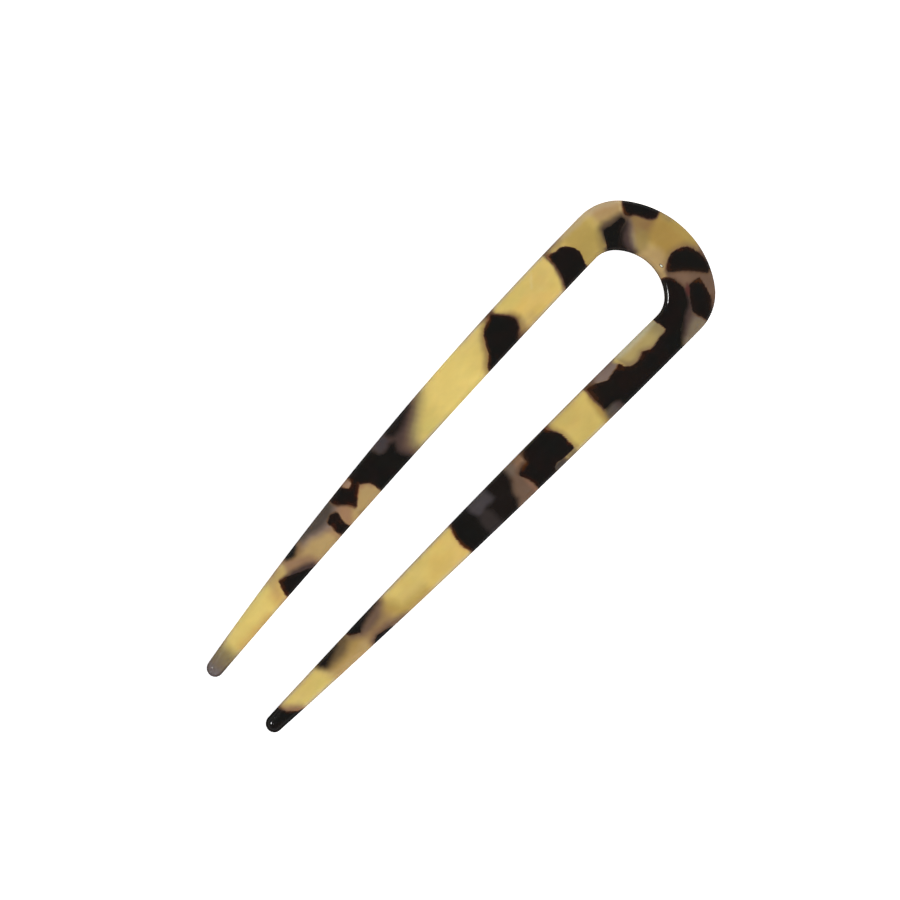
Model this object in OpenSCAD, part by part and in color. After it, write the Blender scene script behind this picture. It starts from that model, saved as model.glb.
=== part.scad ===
// Hairpin cut from one sheet of acetate: two tapered legs joined by a rounded bend.
// It lies flat, with the bend towards +Y, the tips towards -Y and the underside at Z = 0.
// The outline is a chain of arcs and lines that run smoothly into each other, mirrored from
// one leg to the other, and the whole pin is bowed a little to one side.

/* [Pin] */
// Length from the tips to the top of the bend
length = 130; // [110:1:160]
// Thickness of the sheet
thickness = 4.2; // [3:0.1:6]
// Radius of the polished edges
polish_r = 1.2; // [0.4:0.1:1.4]
// How far the middle of the pin is bowed towards -X
bow = 1; // [0:0.1:3]

/* [Bend] */
// Width of the bend at its top, between the outer and the inner edge
crown_w = 9.9; // [8:0.1:11]
// Radius of the outer edge at the top of the bend
crown_r = 20.5; // [18:0.5:26]
// Radius of the inner edge at the top of the bend
arch_r = 9.9; // [9:0.1:12]

/* [Legs] */
// Half width of the pin at its shoulders, where the bend begins
shoulder = 16.5; // [16:0.1:18]
// Drop of the shoulders below the top of the bend
shoulder_drop = 12.5; // [11:0.5:16]
// Radius of the long outer edge of a leg
edge_r = 1050; // [500:50:3000]
// Half width of the gap at the roots of the legs
gap = 8.4; // [7.5:0.1:8.7]
// Drop of the roots below the top of the bend
root_drop = 16.5; // [16:0.5:19]
// Distance of a tip from the middle of the pin
tip = 8.1; // [6:0.1:11]
// Radius of the round tips
tip_r = 1.75; // [1.5:0.05:2.5]

/* [Hidden] */
top = length / 2;
// Steps of each stretch, in which the outer and the inner edge keep pace with each other
crown_steps = 6;
bend_steps = 9;
edge_steps = 14;
tip_steps = 6;
polish_steps = 4;

// Point of a circle in a direction
function on_circle(centre, radius, angle) = centre + radius * [cos(angle), sin(angle)];
// Direction from one point to another
function heading(from, to) = atan2(to.y - from.y, to.x - from.x);
function mix(a, b, share) = a + (b - a) * share;
function reversed(list) = [for (i = [len(list) - 1:-1:0]) list[i]];
// Centre of a large circle that passes through a point and holds a small circle that touches it
function holding_centre(small, small_r, point, radius) =
    let (
        span = norm(point - small),
        forward = (point - small) / span,
        along = ((radius - small_r) ^ 2 - radius ^ 2 + span ^ 2) / (2 * span),
        across = sqrt((radius - small_r) ^ 2 - along ^ 2)
    )
    small + along * forward + across * [-forward.y, forward.x];
// Radius of the arc that leaves a point square to its normal and runs smoothly into a circle
function joining_r(point, inward, centre, radius) =
    let (offset = point - centre)
    (radius ^ 2 - offset * offset) / (2 * (offset * inward + radius));

// The right half of the outline, with a bend, an edge and a tip outside, a root and a line inside
shoulder_point = [shoulder, top - shoulder_drop];
root = [gap, top - root_drop];
tip_centre = [tip, tip_r - top];
crown_centre = [0, top - crown_r];
arch_centre = [0, top - crown_w - arch_r];
edge_centre = holding_centre(tip_centre, tip_r, shoulder_point, edge_r);
inward = (edge_centre - shoulder_point) / edge_r;
bend_r = joining_r(shoulder_point, inward, crown_centre, crown_r);
bend_centre = shoulder_point + bend_r * inward;
line_angle = heading(root, tip_centre) - asin(tip_r / norm(tip_centre - root));
line_run = sqrt(norm(tip_centre - root) ^ 2 - tip_r ^ 2);
gapward = [sin(line_angle), -cos(line_angle)];
root_r = joining_r(root, gapward, arch_centre, arch_r);
root_centre = root + root_r * gapward;
bend_angle = heading(crown_centre, bend_centre);
edge_top = heading(edge_centre, shoulder_point);
edge_low = heading(edge_centre, tip_centre);
root_angle = heading(arch_centre, root_centre);
line_side = heading(root_centre, root);
// Where the two edges of a leg meet, halfway round its tip
tip_end = (edge_low + line_side - 180) / 2;

// Rows of [point, outward normal] along an arc, where facing is -1 with the sheet outside the circle
function arc_rows(centre, radius, from, to, steps, facing) =
    [for (i = [0:steps - 1]) let (angle = mix(from, to, i / steps))
        [on_circle(centre, radius, angle), facing * [cos(angle), sin(angle)]]];
function line_rows(from, angle, run, normal, steps) =
    [for (i = [0:steps - 1]) [on_circle(from, run * i / steps, angle), normal]];

outer_rows = concat(
    arc_rows(crown_centre, crown_r, 90, bend_angle, crown_steps, 1),
    arc_rows(bend_centre, bend_r, bend_angle, edge_top, bend_steps, 1),
    arc_rows(edge_centre, edge_r, edge_top, edge_low, edge_steps, 1),
    arc_rows(tip_centre, tip_r, edge_low, tip_end, tip_steps, 1)
);
inner_rows = concat(
    arc_rows(arch_centre, arch_r, 90, root_angle, crown_steps, -1),
    arc_rows(root_centre, root_r, root_angle, line_side, bend_steps, -1),
    line_rows(root, line_angle, line_run, gapward, edge_steps),
    arc_rows(tip_centre, tip_r, line_side - 180, tip_end, tip_steps, 1)
);
end_row = [on_circle(tip_centre, tip_r, tip_end), [cos(tip_end), sin(tip_end)]];
right_rows = concat(outer_rows, [end_row], reversed(inner_rows));
left_rows = [for (i = [len(right_rows) - 2:-1:1]) [for (v = right_rows[i]) [-v.x, v.y]]];
outline = concat(right_rows, left_rows);

// Rings of [inset from the outline, height], round the lower edge and then the upper one
quarter = [for (i = [0:polish_steps])
    polish_r * [1 - sin(90 * i / polish_steps), 1 - cos(90 * i / polish_steps)]];
rings = concat(quarter, [for (ring = reversed(quarter)) [ring[0], thickness - ring[1]]]);

// Sideways shift of the bowed pin at a height along it
function bowed(y) = bow * ((y / top) ^ 2 - 1 / 2);

module pin() color("khaki") {
    count = len(outline);
    legs = len(outer_rows);
    last = (len(rings) - 1) * count;
    points = [for (ring = rings) for (row = outline)
        let (p = row[0] - ring[0] * row[1]) [p.x + bowed(p.y), p.y, ring[1]]];
    walls = [for (k = [0:len(rings) - 2]) for (i = [0:count - 1])
        let (a = k * count + i, b = k * count + (i + 1) % count)
        each [[a, b, b + count], [a, b + count, a + count]]];
    // Across each leg, from an outer point to the inner one that keeps pace with it
    strips = [for (i = [0:legs - 1]) each [
        [i, i + 1, 2 * legs - i - 1, 2 * legs - i],
        [(count - i) % count, 2 * legs + i, 2 * legs + i + 1, count - i - 1]
    ]];
    halves = [for (s = strips) each [[s[0], s[1], s[2]], [s[0], s[2], s[3]]]];
    upper = [for (f = halves) [f[0] + last, f[1] + last, f[2] + last]];
    lower = [for (f = halves) reversed(f)];
    // The raw sheet trims the faces of the pin into one plane each
    intersection() {
        polyhedron(points, concat(walls, lower, upper));
        translate([-length / 2, -length, 0]) cube([length, 2 * length, thickness]);
    }
}

pin();
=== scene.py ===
import math
import bmesh
import bpy
import numpy as np
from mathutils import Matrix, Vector


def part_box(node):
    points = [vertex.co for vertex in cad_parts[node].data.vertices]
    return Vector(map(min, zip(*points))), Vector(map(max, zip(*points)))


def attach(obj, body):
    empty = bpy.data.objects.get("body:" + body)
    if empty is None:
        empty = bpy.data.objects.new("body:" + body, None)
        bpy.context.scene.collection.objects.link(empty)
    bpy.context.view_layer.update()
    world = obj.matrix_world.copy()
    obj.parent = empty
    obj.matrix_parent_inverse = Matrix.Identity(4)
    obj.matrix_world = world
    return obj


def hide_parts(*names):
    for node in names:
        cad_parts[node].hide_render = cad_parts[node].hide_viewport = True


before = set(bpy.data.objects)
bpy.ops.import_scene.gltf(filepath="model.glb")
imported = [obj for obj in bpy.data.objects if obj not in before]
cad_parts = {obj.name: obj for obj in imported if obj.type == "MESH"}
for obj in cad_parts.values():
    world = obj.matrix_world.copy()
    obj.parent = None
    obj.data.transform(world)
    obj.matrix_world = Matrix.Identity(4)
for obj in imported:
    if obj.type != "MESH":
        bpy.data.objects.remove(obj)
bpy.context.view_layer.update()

# Hairpin of mottled acetate, lying flat on a pale floor and seen from straight above.
# Lengths are in millimetres until the mesh is made, which is in metres like the frame.
millimetre = 0.001
lowCorner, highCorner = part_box("pin")
pinLength = (highCorner.y - lowCorner.y) / millimetre
pinThickness = (highCorner.z - lowCorner.z) / millimetre

# The outline's driving sizes, as in the frame's solid, and the finish of its edges
pinSizes = {
    "crownWidth": 9.9,       # of the bend at its top
    "crownRadius": 20.5,     # outer edge at the top of the bend
    "archRadius": 9.9,       # inner edge at the top of the bend
    "shoulder": 16.5,        # half width where the bend begins
    "shoulderDrop": 12.5,    # of the shoulders below the top
    "edgeRadius": 1050,      # long outer edge of a leg
    "gap": 8.4,              # half width between the roots of the legs
    "rootDrop": 16.5,        # of the roots below the top
    "tip": 8.1,              # from the middle to a tip
    "tipRadius": 1.75,
    "bow": 1.0,              # sideways, of the whole pin
    "tuck": 0.005,           # keeps the finer mesh inside the solid's box
    "polishInset": 1.1,      # how far in the polished edge begins
    "polishDrop": 1.0,       # how far down it runs
    "tipInset": 1.68,        # the same at the tips, which are worn rounder
    "tipDrop": 1.65,
    "tipHold": 1.2,          # how far up a leg the rounder tip goes
    "tipReach": 9.0,         # and over what length it runs out
    "spacing": 0.3,          # between the mesh's rows
    "tipSpacing": 0.15,      # the same round a tip
    "columns": 24,           # across the upper and the lower face
    "roundSteps": 6,         # round a polished edge
    "wallSteps": 5,          # down the wall
    "weld": 0.0002,          # mesh points nearer than this become one
}

# Chips of dark acetate pressed into the honey sheet, charted in the pin's own millimetres.
# levels: depths of the chip's top and foot below the upper face, negative where that face cuts it
# and over the thickness where the underside does. lean: how it shifts for each millimetre down.
# rim: how far in from its edge it glows rust.
chips = {
    "crownLeft": {"levels": (-1, 2.4), "lean": (0.1, -0.1), "rim": 0.7, "outline": [
        (-12.1, 60.2), (-10.8, 59.1), (-9.9, 58.9), (-9.3, 59.3), (-8.5, 60.3), (-7.2, 60.8), (-5.9, 61.5),
        (-5.2, 62.3), (-5.1, 63.0), (-5.7, 63.8), (-6.2, 64.4), (-9.5, 64.0), (-12.6, 61.0)]},
    "crownLeftLower": {"levels": (-1, 3.2), "lean": (0.15, 0.1), "rim": 0.7, "outline": [
        (-10.1, 57.9), (-9.6, 58.2), (-9.1, 57.8), (-8.8, 56.8), (-8.4, 55.6), (-7.8, 54.4), (-7.1, 53.5),
        (-6.6, 52.8), (-7.6, 51.0), (-9.1, 52.3), (-10.3, 53.0), (-11.0, 53.7), (-10.5, 55.2),
        (-10.4, 56.6)]},
    "crownRight": {"levels": (-1, 3.0), "lean": (0.1, -0.2), "rim": 1.0, "outline": [
        (3.4, 62.8), (4.3, 63.1), (6.8, 63.4), (8.4, 63.3), (9.6, 62.6), (9.8, 61.7), (7.9, 60.2),
        (6.7, 59.3), (5.8, 58.4), (4.2, 56.6), (3.3, 56.7), (2.5, 57.9), (2.1, 59.2), (2.1, 60.5),
        (2.6, 61.7)]},
    "shoulderRight": {"levels": (-1, 2.8), "lean": (-0.1, -0.1), "rim": 0.9, "outline": [
        (9.5, 60.0), (10.5, 59.6), (12.2, 59.2), (13.5, 58.7), (15.2, 57.2), (17.4, 56.1), (17.4, 54.9),
        (15.6, 54.6), (14.3, 54.2), (12.8, 54.1), (11.5, 55.1), (10.3, 56.3), (9.0, 57.4), (9.0, 58.6)]},
    "rootRight": {"levels": (-1, 3.4), "lean": (0.2, 0.2), "rim": 0.6, "outline": [
        (3.6, 53.8), (4.7, 55.4), (5.7, 56.0), (7.5, 56.2), (8.4, 56.2), (9.3, 55.5), (10.6, 54.0),
        (11.4, 52.8), (12.6, 51.2), (13.6, 49.8), (14.0, 48.6), (12.0, 46.7), (11.6, 47.7), (10.3, 47.8),
        (8.4, 47.2), (6.6, 50.0)]},
    "jagged": {"levels": (-1, 3.6), "lean": (0.05, -0.2), "rim": 1.3, "outline": [
        (11.8, 48.3), (13.0, 50.4), (14.6, 48.6), (15.8, 47.0), (18.0, 46.0), (18.0, 32.9), (15.2, 32.7),
        (13.8, 32.2), (13.6, 30.6), (13.7, 27.8), (11.5, 27.8), (8.4, 28.0), (8.2, 28.7), (9.0, 30.4),
        (9.4, 31.1), (10.1, 32.4), (10.1, 33.2), (9.8, 34.8), (9.4, 36.4), (10.5, 36.5), (11.3, 37.2),
        (12.0, 38.8), (11.9, 39.9), (11.2, 41.4), (12.3, 42.9), (12.1, 44.2), (11.9, 45.6)]},
    "legLeftFirst": {"levels": (-1, 2.9), "lean": (0.05, -0.3), "rim": 0.5, "outline": [
        (-13.2, 47.0), (-12.0, 47.3), (-11.2, 47.2), (-10.2, 46.7), (-7.6, 45.8), (-7.6, 39.8),
        (-8.8, 40.3), (-10.0, 41.0), (-11.4, 41.6), (-13.4, 42.0), (-15.6, 42.2), (-15.1, 43.6),
        (-14.9, 45.3), (-14.1, 46.2)]},
    "legLeftSecond": {"levels": (-1, 3.8), "lean": (0.05, 0.2), "rim": 0.7, "outline": [
        (-15.9, 25.9), (-14.6, 27.0), (-12.8, 28.2), (-11.6, 28.7), (-10.0, 27.8), (-8.9, 26.3),
        (-7.4, 25.7), (-7.4, 17.1), (-8.9, 17.7), (-11.0, 20.1), (-13.4, 21.4), (-14.9, 23.1),
        (-15.5, 24.8)]},
    "legLeftDark": {"levels": (-1, 5), "lean": (0.1, 0.1), "rim": 0.8, "outline": [
        (-7.0, -9.0), (-12.2, -11.0), (-17.0, -13.0), (-17.0, -16.9), (-14.0, -17.2), (-13.2, -17.5),
        (-12.7, -18.2), (-12.2, -17.8), (-12.0, -16.8), (-11.1, -15.7), (-10.3, -15.0), (-9.4, -14.8),
        (-7.0, -14.4)]},
    "kite": {"levels": (-1, 2.6), "lean": (0.1, -0.2), "rim": 1.1, "outline": [
        (-13.0, -16.8), (-11.9, -16.8), (-10.3, -18.8), (-9.2, -20.5), (-10.5, -21.1), (-11.6, -22.0),
        (-12.4, -22.8), (-13.3, -23.1), (-14.8, -22.5), (-14.8, -19.9), (-13.5, -19.4), (-12.7, -18.7)]},
    "block": {"levels": (-1, 2.2), "lean": (-0.2, 0.0), "rim": 1.3, "outline": [
        (-11.2, -23.9), (-10.4, -24.1), (-9.3, -24.3), (-8.2, -24.4), (-7.2, -23.9), (-6.0, -23.8),
        (-6.0, -26.3), (-7.8, -26.4), (-8.7, -26.9), (-9.8, -26.5), (-11.1, -26.7), (-11.8, -25.4)]},
    "wedge": {"levels": (-1, 3.0), "lean": (-0.1, 0.15), "rim": 1.1, "outline": [
        (-10.2, -41.9), (-8.4, -42.6), (-5.5, -43.3), (-5.5, -34.5), (-7.2, -35.2), (-8.1, -36.9),
        (-9.1, -39.1), (-9.9, -40.5)]},
    "legRightFirst": {"levels": (-1, 3.0), "lean": (-0.5, -0.1), "rim": 0.9, "outline": [
        (6.0, 16.2), (8.0, 16.9), (9.4, 17.5), (10.6, 18.1), (14.4, 18.1), (14.5, 16.4), (14.4, 15.0),
        (13.9, 13.6), (14.4, 12.4), (17.0, 11.9), (17.0, 7.5), (13.6, 7.4), (12.0, 7.1), (10.4, 6.5),
        (9.8, 7.5), (9.4, 8.6), (9.6, 9.5), (8.3, 9.8), (7.6, 10.7), (6.0, 11.0)]},
    "legRightDark": {"levels": (-1, 5), "lean": (0.0, 0.1), "rim": 0.8, "outline": [
        (5.5, -7.8), (16.0, -7.8), (16.0, -10.8), (13.4, -11.1), (12.4, -11.4), (11.2, -11.6), (9.8, -11.4),
        (8.3, -10.9), (7.2, -10.1), (5.5, -9.8)]},
    "lowLeftOfRight": {"levels": (-1, 3.0), "lean": (-0.1, 0.2), "rim": 1.0, "outline": [
        (5.5, -36.2), (6.8, -36.8), (8.0, -37.8), (8.7, -38.0), (7.9, -39.4), (7.1, -40.4), (5.5, -40.7)]},
    "lowSpotRight": {"levels": (-1, 2.0), "lean": (-0.2, 0.1), "rim": 1.3, "outline": [
        (14.0, -33.0), (12.3, -33.2), (11.9, -34.2), (11.6, -35.4), (11.6, -36.6), (11.8, -37.4),
        (14.0, -37.9)]},
    "tipRightEnd": {"levels": (-1, 5), "lean": (0.1, 0.1), "rim": 0.5, "outline": [
        (5.0, -61.2), (6.8, -60.7), (8.0, -60.1), (9.0, -59.5), (9.7, -58.7), (10.2, -57.8), (10.7, -57.0),
        (13.0, -56.4), (13.0, -67.0), (5.0, -67.0)]},
}

# Where the edges of the chips glow rust: x, y and how far it reaches
rustSpots = [
    (3.0, 62.4, 2.6), (3.6, 57.2, 1.2), (5.6, 55.6, 1.6), (9.6, 59.3, 1.2), (-10.8, 57.0, 2.0),
    (11.6, 41.4, 2.2), (10.0, 36.0, 1.4), (9.4, 28.2, 2.6), (-15.2, 24.2, 2.2), (-12.5, 21.0, 2.2),
    (-9.8, 18.6, 2.2), (-15.2, 42.4, 1.2), (-12.6, -17.6, 1.8), (-10.2, -21.0, 2.0), (-12.5, -22.6, 1.2),
    (-11.0, -18.3, 1.6), (-9.6, -25.8, 1.6), (-9.6, -41.6, 2.4), (-7.2, -42.8, 1.8), (-9.2, -39.0, 1.2),
    (13.2, 17.8, 1.0), (8.0, 16.8, 1.2), (12.4, 7.4, 2.8), (9.6, 8.3, 1.6), (10.5, -11.2, 4.0),
    (7.6, -39.2, 2.0), (11.6, -35.0, 1.6), (9.6, -58.8, 2.0), (-10.4, 59.4, 1.3), (4.6, 54.8, 1.4),
]

# Tones of the tinted acetate between honey and black
tones = {
    "gold": "#B08E4A", "olive": "#BA9E55", "moss": "#B09C67", "sand": "#BC9C6A", "tan": "#8F6E47",
    "blush": "#A2826D", "rose": "#A0725A", "taupe": "#775E4C", "lilac": "#88746A",
    "grey": "#7B6C5F", "smoke": "#94835C", "ash": "#514740", "plum": "#4E3D39", "slate": "#4A4446",
    "soot": "#332B28", "night": "#171512", "coal": "#1C1613", "bark": "#6A563C", "fawn": "#A07C5E",
    "fog": "#584F4A", "ruby": "#5C302C", "straw": "#CCC2A2", "khaki": "#9E864F", "shell": "#CDB894",
    "pewter": "#766F76", "lemon": "#F4D97E", "pale": "#EAD9A4", "amber": "#D9A860",
}

# Tinted veils that fade into the honey and go right through the sheet, each over the ones before:
# the tone, the width over which it fades, how far it hides what is under it, and its outline
# some of them are painted light or shade, as said at each
veils = {
    "bendMiddle": ("gold", 1.8, 0.95, [
        (-8.0, 66.5), (6.0, 66.5), (4.0, 60.0), (2.6, 57.4), (-2.0, 57.6), (-5.0, 57.0), (-6.0, 60.0)]),
    "bendInside": ("sand", 1.2, 0.9, [
        (-3.4, 57.4), (0.4, 58.6), (2.8, 58.0), (5.2, 55.6), (4.0, 53.6), (-4.6, 53.6)]),
    "bendTan": ("tan", 1.1, 0.9, [
        (-11.0, 59.8), (-4.8, 62.0), (-4.2, 59.4), (-5.4, 57.0), (-9.0, 57.0), (-11.0, 58.4)]),
    "bendKhaki": ("khaki", 0.9, 0.8, [
        (-6.4, 58.6), (-4.6, 59.4), (-3.2, 58.8), (-2.2, 57.2), (-2.4, 55.4), (-3.4, 54.6), (-5.4, 56.4)]),
    "bendTop": ("olive", 0.7, 0.7, [
        (-4.6, 63.2), (4.0, 63.4), (4.0, 66.5), (-4.6, 66.5)]),
    "crownTop": ("grey", 0.7, 0.35, [
        (-5.6, 64.6), (-4.6, 63.4), (-2.6, 63.8), (-1.6, 66.5), (-6.0, 66.5)]),
    "bendOutside": ("sand", 1.2, 0.85, [
        (-18.0, 53.4), (-11.0, 53.8), (-10.0, 58.0), (-11.0, 60.6), (-14.0, 62.0), (-18.0, 58.0)]),
    "bendBlush": ("rose", 1.5, 0.3, [
        (-16.0, 54.5), (-13.4, 54.6), (-11.4, 58.0), (-11.4, 60.0), (-13.6, 59.6), (-15.6, 57.0)]),
    "belowBend": ("olive", 1.6, 0.9, [
        (-18.0, 53.4), (-8.0, 53.0), (-7.0, 45.0), (-18.0, 46.6)]),
    # painted sheen along the outer edge on the side that faces the lights
    "paintedSheenOuter": ("shell", 0.7, 0.6, [
        (-17.5, 44.5), (-15.9, 44.8), (-15.4, 50.0), (-15.2, 53.0), (-14.9, 55.0), (-14.2, 57.0),
        (-13.0, 58.6), (-12.2, 60.2), (-13.0, 62.0), (-18.0, 58.0)]),
    "belowCrownLeft": ("khaki", 0.8, 0.8, [
        (-12.6, 54.6), (-12.3, 52.8), (-10.6, 51.3), (-8.8, 50.1), (-7.6, 49.6), (-7.6, 51.6),
        (-9.4, 52.8), (-11.4, 54.0)]),
    "crownShadow": ("taupe", 0.9, 0.65, [
        (4.6, 64.2), (2.8, 63.2), (1.7, 61.4), (1.4, 59.6), (2.0, 57.2), (4.4, 55.8), (6.0, 60.0)]),
    "crownRim": ("taupe", 0.5, 0.75, [
        (3.6, 63.0), (5.0, 64.2), (8.0, 65.0), (11.0, 63.4), (9.0, 62.0)]),
    "shoulder": ("taupe", 0.6, 1.0, [
        (3.4, 56.2), (4.6, 57.4), (6.0, 59.4), (9.2, 61.6), (10.4, 63.2), (14.0, 62.0), (18.5, 56.0),
        (18.5, 46.8), (12.0, 50.0), (8.0, 55.0), (4.8, 55.2)]),
    "shoulderTan": ("fawn", 1.0, 0.25, [
        (4.4, 57.2), (6.5, 58.8), (8.2, 58.8), (8.8, 57.0), (5.5, 56.2)]),
    "shoulderPale": ("grey", 0.7, 1.0, [
        (13.4, 53.4), (14.6, 54.4), (18.5, 54.6), (18.5, 46.0), (15.6, 48.4), (14.4, 51.0)]),
    "shoulderGrey": ("smoke", 0.7, 0.35, [
        (14.0, 52.6), (15.2, 54.0), (18.5, 54.6), (18.5, 46.0), (16.0, 48.4), (14.8, 51.0)]),
    "shoulderDusk": ("plum", 0.9, 0.95, [
        (9.2, 56.4), (11.8, 55.7), (13.1, 54.4), (14.1, 52.3), (15.4, 49.4), (12.0, 50.0), (9.0, 54.6)]),
    "rootNight": ("night", 0.6, 1.0, [
        (8.6, 56.0), (9.9, 56.0), (11.5, 54.6), (12.6, 52.5), (14.0, 50.5), (15.5, 48.8), (16.4, 47.9),
        (18.5, 47.2), (14.0, 45.0), (12.4, 47.0), (9.0, 52.0)]),
    "shoulderRose": ("ruby", 0.5, 0.95, [
        (8.3, 57.5), (9.8, 57.4), (10.6, 56.5), (10.2, 55.6), (8.7, 56.2)]),
    "crownHaze": ("lilac", 0.9, 0.88, [
        (-9.0, 58.9), (-7.1, 58.0), (-5.7, 56.9), (-4.4, 56.0), (-3.4, 55.0), (-8.0, 51.0), (-9.0, 54.0)]),
    "crownDusk": ("plum", 0.9, 1.0, [
        (-9.4, 59.0), (-7.9, 58.2), (-6.4, 56.7), (-5.3, 55.8), (-4.2, 55.4), (-3.0, 55.2), (-3.0, 53.6),
        (-8.0, 51.0)]),
    "crownNight": ("coal", 0.7, 0.95, [
        (-8.9, 58.0), (-8.0, 57.0), (-7.6, 55.9), (-6.8, 54.9), (-5.8, 54.4), (-4.6, 54.3), (-3.4, 54.6),
        (-3.0, 53.4), (-8.0, 51.0)]),
    "crownLeftEdge": ("plum", 0.8, 0.9, [
        (-12.2, 54.6), (-11.9, 53.1), (-9.0, 51.8), (-9.4, 58.9), (-10.9, 58.7), (-11.6, 56.8)]),
    "crownLeftNight": ("coal", 0.5, 0.95, [
        (-10.4, 58.0), (-9.7, 58.4), (-9.2, 58.0), (-9.0, 52.4), (-9.6, 52.5), (-11.3, 53.5),
        (-10.8, 55.2), (-10.6, 56.6)]),
    # painted highlight, a thin streak of light on the polished face
    "paintedHighlightCrown": ("pale", 0.25, 0.25, [
        (-12.9, 59.9), (-12.7, 60.2), (-11.1, 58.8), (-11.3, 58.5)]),
    "insideJagged": ("moss", 0.8, 0.85, [
        (6.0, 48.6), (12.4, 48.6), (12.4, 36.6), (6.0, 36.6)]),
    "insideTop": ("smoke", 1.8, 0.85, [
        (6.0, 49.6), (12.6, 49.6), (12.6, 45.4), (6.0, 45.8)]),
    "insidePale": ("straw", 0.7, 0.85, [
        (6.0, 48.0), (8.9, 47.6), (9.2, 44.0), (9.1, 40.0), (8.7, 37.0), (6.0, 37.0)]),
    "besideJagged": ("taupe", 0.7, 0.65, [
        (10.9, 48.4), (11.7, 47.0), (11.8, 43.4), (10.5, 41.4), (11.2, 39.4), (10.6, 37.8), (8.8, 36.8),
        (13.0, 36.4), (13.0, 48.4)]),
    "pocketJagged": ("lilac", 0.5, 1.0, [
        (6.0, 35.2), (8.4, 35.7), (9.4, 36.4), (10.6, 33.0), (9.0, 30.0), (8.0, 27.9), (6.0, 28.2)]),
    "footJagged": ("gold", 0.8, 0.9, [
        (8.4, 28.2), (9.8, 27.0), (12.4, 26.3), (17.0, 25.4), (17.0, 29.4), (10.0, 29.4)]),
    "cornerJagged": ("fog", 0.7, 1.0, [
        (13.4, 32.6), (17.5, 33.6), (17.5, 26.3), (15.4, 26.7), (13.4, 27.6)]),
    "cornerDusk": ("plum", 0.8, 0.9, [
        (13.4, 29.8), (17.5, 30.2), (17.5, 34.0), (13.4, 34.0)]),
    "cornerNight": ("night", 0.5, 1.0, [
        (12.4, 33.4), (17.5, 33.6), (17.5, 31.3), (14.8, 31.0), (14.1, 30.4), (14.0, 29.4), (14.3, 27.7),
        (12.4, 27.9)]),
    "besideFirst": ("tan", 0.6, 0.5, [
        (-17.0, 46.8), (-15.4, 46.4), (-14.9, 45.0), (-15.2, 43.0), (-15.9, 42.0), (-17.0, 42.0)]),
    "belowFirst": ("taupe", 0.6, 0.9, [
        (-14.0, 42.0), (-10.0, 41.6), (-7.4, 40.8), (-7.4, 38.9), (-9.2, 39.6), (-11.0, 40.6),
        (-13.0, 41.4)]),
    # painted highlight, a thin streak of light on the polished face
    "paintedHighlightLeft": ("pale", 0.3, 0.4, [
        (-16.0, 37.5), (-15.8, 37.7), (-13.2, 35.3), (-13.4, 35.0)]),
    "aboveSecond": ("tan", 0.8, 0.75, [
        (-15.0, 27.2), (-13.2, 29.3), (-11.4, 30.0), (-9.4, 29.4), (-7.4, 29.4), (-7.4, 25.0)]),
    "aboveSecondRight": ("sand", 0.9, 0.4, [
        (-10.4, 32.0), (-7.4, 33.0), (-7.4, 28.0), (-11.0, 29.0)]),
    "belowSecond": ("tan", 0.8, 0.85, [
        (-16.0, 25.4), (-15.5, 22.6), (-13.9, 20.7), (-11.4, 19.1), (-9.4, 16.7), (-7.4, 16.0),
        (-7.4, 20.0), (-14.0, 25.0)]),
    "brightLeft": ("lemon", 3.0, 0.85, [
        (-18.0, 17.0), (-6.0, 16.0), (-6.0, 4.0), (-18.0, 8.0)]),
    "brightLow": ("lemon", 2.0, 0.6, [
        (-14.0, -45.0), (-5.0, -46.0), (-5.0, -56.5), (-14.0, -56.0)]),
    "dimRight": ("olive", 3.0, 0.25, [
        (5.0, 27.0), (17.0, 27.0), (17.0, 18.0), (5.0, 17.0)]),
    "slopeLeft": ("smoke", 1.6, 0.95, [
        (-17.0, 6.8), (-15.3, 5.2), (-13.1, 2.7), (-11.3, -0.3), (-9.7, -1.9), (-6.5, -2.5), (-6.5, -9.0),
        (-17.0, -9.0)]),
    "slopeLeftTaupe": ("taupe", 1.4, 1.0, [
        (-17.0, 5.2), (-15.0, 3.0), (-13.0, -0.2), (-11.2, -2.8), (-9.4, -3.8), (-6.5, -3.6),
        (-6.5, -9.0), (-17.0, -9.0)]),
    "slopeLeftDusk": ("plum", 1.2, 0.95, [
        (-17.0, 3.3), (-14.6, 1.8), (-13.1, -0.6), (-11.8, -3.3), (-10.5, -4.9), (-9.4, -5.0),
        (-6.5, -4.8), (-6.5, -12.0), (-17.0, -12.0)]),
    "slopeLeftEdge": ("night", 0.8, 0.9, [
        (-17.0, 2.2), (-15.1, 1.3), (-14.1, -1.0), (-13.2, -3.4), (-13.2, -5.0), (-14.2, -6.0),
        (-17.0, -6.2)]),
    "legLeftNight": ("night", 0.8, 1.0, [
        (-6.5, -4.9), (-8.2, -5.5), (-9.6, -6.3), (-10.8, -6.6), (-11.8, -6.0), (-12.6, -5.6),
        (-13.1, -6.8), (-12.6, -8.2), (-13.2, -9.4), (-14.4, -10.0), (-17.0, -10.2), (-17.0, -15.0),
        (-6.5, -13.0)]),
    "slatePatch": ("slate", 0.7, 0.95, [
        (-15.4, -6.4), (-13.8, -6.4), (-12.8, -8.0), (-13.1, -9.3), (-14.6, -9.7)]),
    "aroundKite": ("sand", 0.9, 0.9, [
        (-12.6, -14.6), (-6.0, -13.8), (-6.0, -35.6), (-9.4, -37.0), (-13.0, -35.0)]),
    "besideKite": ("rose", 0.5, 0.6, [
        (-12.4, -16.8), (-11.0, -14.6), (-9.0, -14.4), (-9.6, -15.5), (-10.8, -16.0), (-10.9, -17.4)]),
    "blushKite": ("blush", 0.45, 0.95, [
        (-17.0, -17.0), (-13.0, -17.2), (-12.3, -18.5), (-13.4, -19.7), (-17.0, -20.0)]),
    "aboveBlock": ("rose", 0.8, 0.7, [
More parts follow.
